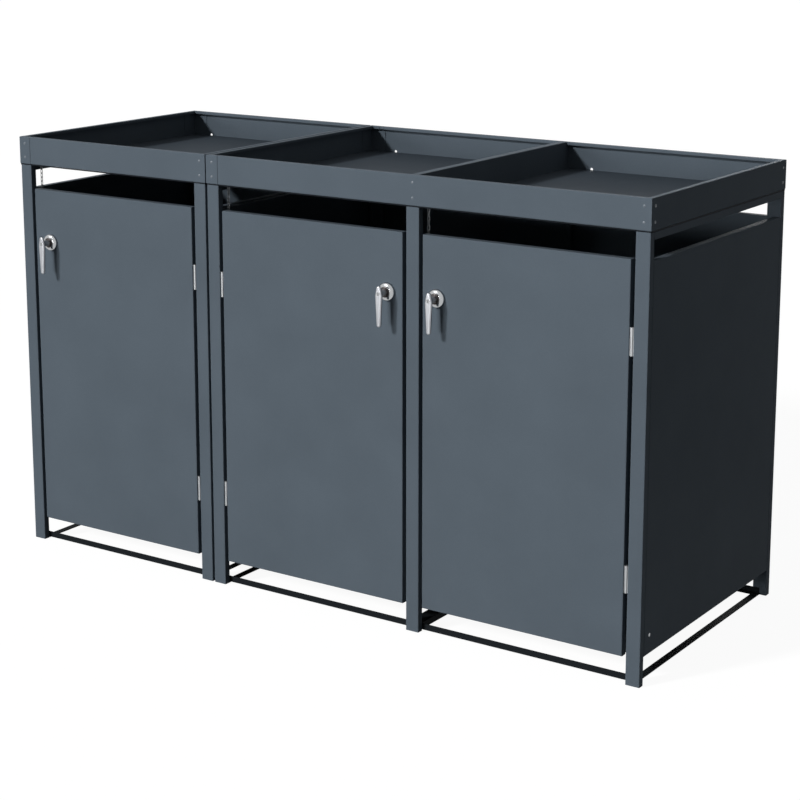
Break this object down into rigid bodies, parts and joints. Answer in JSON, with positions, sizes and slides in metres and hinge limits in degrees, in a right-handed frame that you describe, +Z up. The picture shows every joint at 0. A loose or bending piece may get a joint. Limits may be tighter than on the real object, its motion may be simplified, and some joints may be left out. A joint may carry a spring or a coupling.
{
  "type": "wheelie bin store",
  "caption": "Sheet-steel wheelie bin store with hinged locking doors, slotted sides and planter trays as its roof.",
  "frame": {"origin": "bottom centre of the whole store's bounding box, on the ground", "axes": "+X to the right seen from the doors, +Y from the doors to the back, +Z up"},
  "size_m": [2.0724, 0.8422, 1.236],
  "materials": {
    "anthracite_coat": "fine-textured matt powder coat",
    "chrome_plate": "polished chrome plate",
    "zinc_wire": "bright zinc-plated wire",
    "zinc_steel": "zinc-plated strip"
  },
  "bodies": {
    "frame": {"base_angles_double": "anthracite_coat", "base_angles_single": "anthracite_coat", "base_side_strips": "anthracite_coat", "chain_eyes": "zinc_wire", "corner_cleats": "anthracite_coat", "fascia_rivets": "anthracite_coat", "front_fascia_double": "anthracite_coat", "front_fascia_single": "anthracite_coat", "front_post_double_left": "anthracite_coat", "front_post_double_middle": "anthracite_coat", "front_post_double_right": "anthracite_coat", "front_post_single_left": "anthracite_coat", "front_post_single_right": "anthracite_coat", "hinge_post_leaves_left": "zinc_wire", "hinge_post_leaves_middle": "zinc_wire", "hinge_post_leaves_right": "zinc_wire", "left_fascia_double": "anthracite_coat", "left_fascia_single": "anthracite_coat", "middle_base_rail": "anthracite_coat", "rear_fascia_double": "anthracite_coat", "rear_fascia_single": "anthracite_coat", "rear_panel_left": "anthracite_coat", "rear_panel_middle": "anthracite_coat", "rear_panel_right": "anthracite_coat", "rear_posts_double": "anthracite_coat", "rear_posts_single": "anthracite_coat", "rear_top_rails": "anthracite_coat", "right_fascia_double": "anthracite_coat", "right_fascia_single": "anthracite_coat", "side_panel_double_left": "anthracite_coat", "side_panel_double_right": "anthracite_coat", "side_panel_single_left": "anthracite_coat", "side_panel_single_right": "anthracite_coat", "side_top_rails": "anthracite_coat", "tray_divider": "anthracite_coat", "tray_floor_left": "anthracite_coat", "tray_floor_middle": "anthracite_coat", "tray_floor_right": "anthracite_coat"},
    "door_left": {"door_left": "anthracite_coat", "hinge_door_leaves_left": "zinc_wire", "lock_rose_left": "chrome_plate"},
    "door_middle": {"door_middle": "anthracite_coat", "hinge_door_leaves_middle": "zinc_wire", "lock_rose_middle": "chrome_plate"},
    "door_right": {"door_right": "anthracite_coat", "hinge_door_leaves_right": "zinc_wire", "lock_rose_right": "chrome_plate"},
    "lever_left": {"lock_lever_left": "chrome_plate", "lock_cam_left": "zinc_steel"},
    "lever_middle": {"lock_lever_middle": "chrome_plate", "lock_cam_middle": "zinc_steel"},
    "lever_right": {"lock_lever_right": "chrome_plate", "lock_cam_right": "zinc_steel"},
    "key_left": {"key_plug_left": "chrome_plate"},
    "key_middle": {"key_plug_middle": "chrome_plate"},
    "key_right": {"key_plug_right": "chrome_plate"},
    "chain_left": {"lid_chain_left": "zinc_wire"},
    "chain_middle": {"lid_chain_middle": "zinc_wire"},
    "chain_right": {"lid_chain_right": "zinc_wire"}
  },
  "joints": [
    {"name": "door_swing_left", "type": "hinge", "parent": "frame", "child": "door_left", "pos_m": [-0.379, -0.3746, 0.578], "axis": [0, 0, 1], "range_deg": [0, 90]},
    {"name": "door_swing_middle", "type": "hinge", "parent": "frame", "child": "door_middle", "pos_m": [-0.281, -0.3746, 0.578], "axis": [0, 0, -1], "range_deg": [0, 90]},
    {"name": "door_swing_right", "type": "hinge", "parent": "frame", "child": "door_right", "pos_m": [0.988, -0.3746, 0.578], "axis": [0, 0, 1], "range_deg": [0, 90]},
    {"name": "lever_turn_left", "type": "hinge", "parent": "door_left", "child": "lever_left", "pos_m": [-0.9235, -0.3786, 0.93], "axis": [0, -1, 0], "range_deg": [0, 90]},
    {"name": "lever_turn_middle", "type": "hinge", "parent": "door_middle", "child": "lever_middle", "pos_m": [0.274, -0.3786, 0.922], "axis": [0, 1, 0], "range_deg": [0, 90]},
    {"name": "lever_turn_right", "type": "hinge", "parent": "door_right", "child": "lever_right", "pos_m": [0.4285, -0.3786, 0.922], "axis": [0, -1, 0], "range_deg": [0, 90]},
    {"name": "key_turn_left", "type": "hinge", "parent": "lever_left", "child": "key_left", "pos_m": [-0.9235, -0.4166, 0.93], "axis": [0, -1, 0], "range_deg": [0, 90]},
    {"name": "key_turn_middle", "type": "hinge", "parent": "lever_middle", "child": "key_middle", "pos_m": [0.274, -0.4166, 0.922], "axis": [0, -1, 0], "range_deg": [0, 90]},
    {"name": "key_turn_right", "type": "hinge", "parent": "lever_right", "child": "key_right", "pos_m": [0.4285, -0.4166, 0.922], "axis": [0, -1, 0], "range_deg": [0, 90]},
    {"name": "chain_swing_left", "type": "hinge", "parent": "frame", "child": "chain_left", "pos_m": [-0.9875, -0.3421, 1.1515], "axis": [1, 0, 0], "range_deg": [0, 60]},
    {"name": "chain_swing_middle", "type": "hinge", "parent": "frame", "child": "chain_middle", "pos_m": [-0.2805, -0.3421, 1.1515], "axis": [1, 0, 0], "range_deg": [0, 60]},
    {"name": "chain_swing_right", "type": "hinge", "parent": "frame", "child": "chain_right", "pos_m": [0.3795, -0.3421, 1.1515], "axis": [1, 0, 0], "range_deg": [0, 60]}
  ]
}
